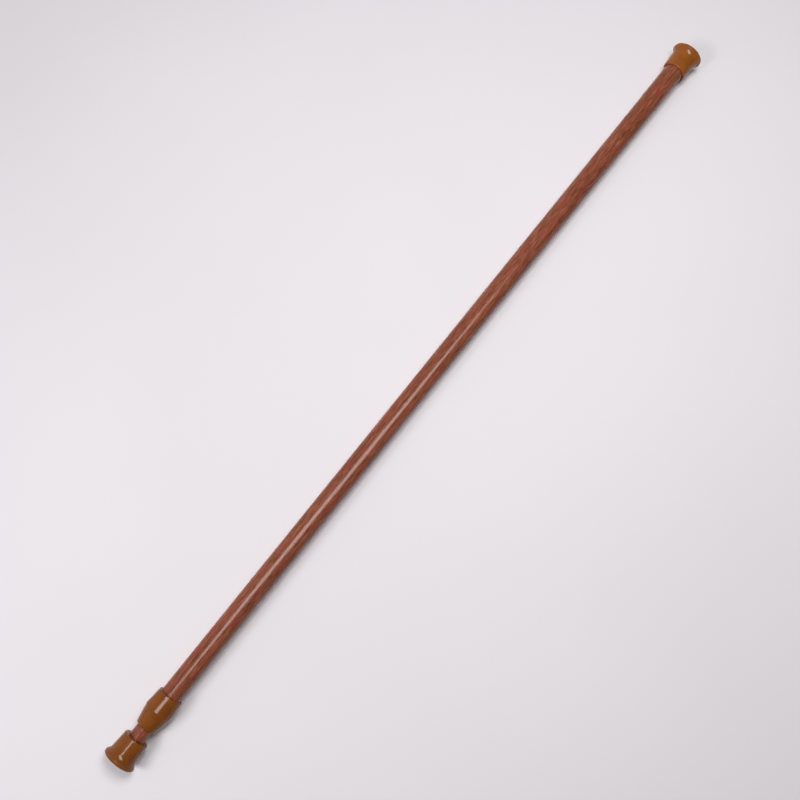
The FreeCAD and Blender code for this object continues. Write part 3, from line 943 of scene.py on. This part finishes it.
def light_room(settings):
    """The light from all round, and the pale backdrop: plain to the camera, bright on one side otherwise."""
    world = bpy.data.worlds.new("pale_room")
    bpy.context.scene.world = world
    world.use_nodes = True
    tree = world.node_tree
    ray = tree.nodes.new("ShaderNodeLightPath").outputs
    seen = work_out(tree, "MAXIMUM", ray["Is Camera Ray"], ray["Is Glossy Ray"])
    seen = work_out(tree, "MAXIMUM", seen, ray["Is Transmission Ray"])
    background = tree.nodes["Background"]
    background.inputs["Color"].default_value = opaque(settings.backdrop)
    direction = tree.nodes.new("ShaderNodeTexCoord").outputs["Generated"]
    heading = put(tree, "ShaderNodeSeparateXYZ", {0: direction}).outputs
    sides = spread(tree, heading["Y"], (settings.mirrored, settings.dim_mirrored), MIRRORED_SIDES)
    heights = spread(tree, heading["Z"], (1.0, settings.ceiling), MIRRORED_HEIGHTS)
    mirrored = work_out(tree, "MULTIPLY", sides, heights)
    shown = work_out(tree, "MAXIMUM", ray["Is Camera Ray"], mirrored)
    fill = spread(tree, heading["Y"], (settings.fill, settings.dim_fill), FILL_SIDES)
    tree.links.new(between(tree, seen, fill, shown), background.inputs["Strength"])


def lay_table(settings):
    """The table under the rod, which belongs to the stage."""
    middle, side = TABLE_MIDDLE
    signs = ((-1, -1), (1, -1), (1, 1), (-1, 1))
    corners = [
        (middle + TABLE_REACH * right, side + TABLE_REACH * back, cad_low.z) for right, back in signs
    ]
    mesh = bpy.data.meshes.new("table")
    mesh.from_pydata(corners, [], [(0, 1, 2, 3)])
    mesh.materials.append(table_material(settings))
    table = bpy.data.objects.new("table", mesh)
    bpy.context.scene.collection.objects.link(table)


def place_camera(settings):
    """The camera, set back from the point that it looks at."""
    lens = bpy.data.cameras.new("camera")
    lens.lens = settings.lens
    camera = bpy.data.objects.new("camera", lens)
    level = math.cos(settings.elevation)
    back = Vector((
        math.sin(settings.azimuth) * level,
        -math.cos(settings.azimuth) * level,
        math.sin(settings.elevation),
    ))
    camera.location = Vector(settings.aim) + back * settings.distance
    camera.rotation_mode = "QUATERNION"
    camera.rotation_quaternion = (-back).to_track_quat("-Z", "Y")
    bpy.context.scene.collection.objects.link(camera)
    bpy.context.scene.camera = camera


class ROD_OT_make_stage(bpy.types.Operator):
    """Makes the pale table, the soft light and the camera"""

    bl_idname = "rod.make_stage"
    bl_label = "Stage"

    def execute(self, context):
        settings = context.scene.tension_rod.stage
        lay_table(settings)
        panel_light("shine", SHINE_PLACE, SHINE_SIZE, settings.shine, True, SHINE_TURN)
        panel_light("near", NEAR_PLACE, NEAR_SIZE, settings.near, False)
        panel_light("far", FAR_PLACE, FAR_SIZE, settings.far, False)
        light_room(settings)
        place_camera(settings)
        context.scene.view_settings.view_transform = "Standard"
        return {"FINISHED"}


class ROD_PT_looks(bpy.types.Panel):
    """The rod's settings, and a button for each piece"""

    bl_idname = "ROD_PT_looks"
    bl_label = "Tension rod"
    bl_space_type = "VIEW_3D"
    bl_region_type = "UI"
    bl_category = "Tension rod"

    def draw(self, context):
        settings = context.scene.tension_rod
        for title, group in (
            ("Tubes", settings.tubes), ("Mouldings", settings.mouldings),
            ("Lock", settings.lock), ("Stage", settings.stage),
        ):
            box = self.layout.box()
            box.label(text=title)
            for name in group.__annotations__:
                box.prop(group, name)
        for operator in OPERATORS:
            self.layout.operator(operator.bl_idname)


OPERATORS = (
    ROD_OT_make_tubes,
    ROD_OT_make_end_caps,
    ROD_OT_make_collar,
    ROD_OT_make_spring,
    ROD_OT_finish_lock,
    ROD_OT_make_stage,
)
CLASSES = (
    TubeSettings, MouldingSettings, LockSettings, StageSettings, RodSettings, *OPERATORS, ROD_PT_looks,
)


def register():
    for kind in CLASSES:
        bpy.utils.register_class(kind)
    bpy.types.Scene.tension_rod = bpy.props.PointerProperty(
        type=RodSettings, name="Tension rod", description="Settings of the rod's looks"
    )


def unregister():
    del bpy.types.Scene.tension_rod
    for kind in reversed(CLASSES):
        bpy.utils.unregister_class(kind)


def main():
    register()
    bpy.ops.rod.make_tubes()
    bpy.ops.rod.make_end_caps()
    bpy.ops.rod.make_collar()
    bpy.ops.rod.make_spring()
    bpy.ops.rod.finish_lock()
    bpy.ops.rod.make_stage()


if __name__ == "__main__":
    main()
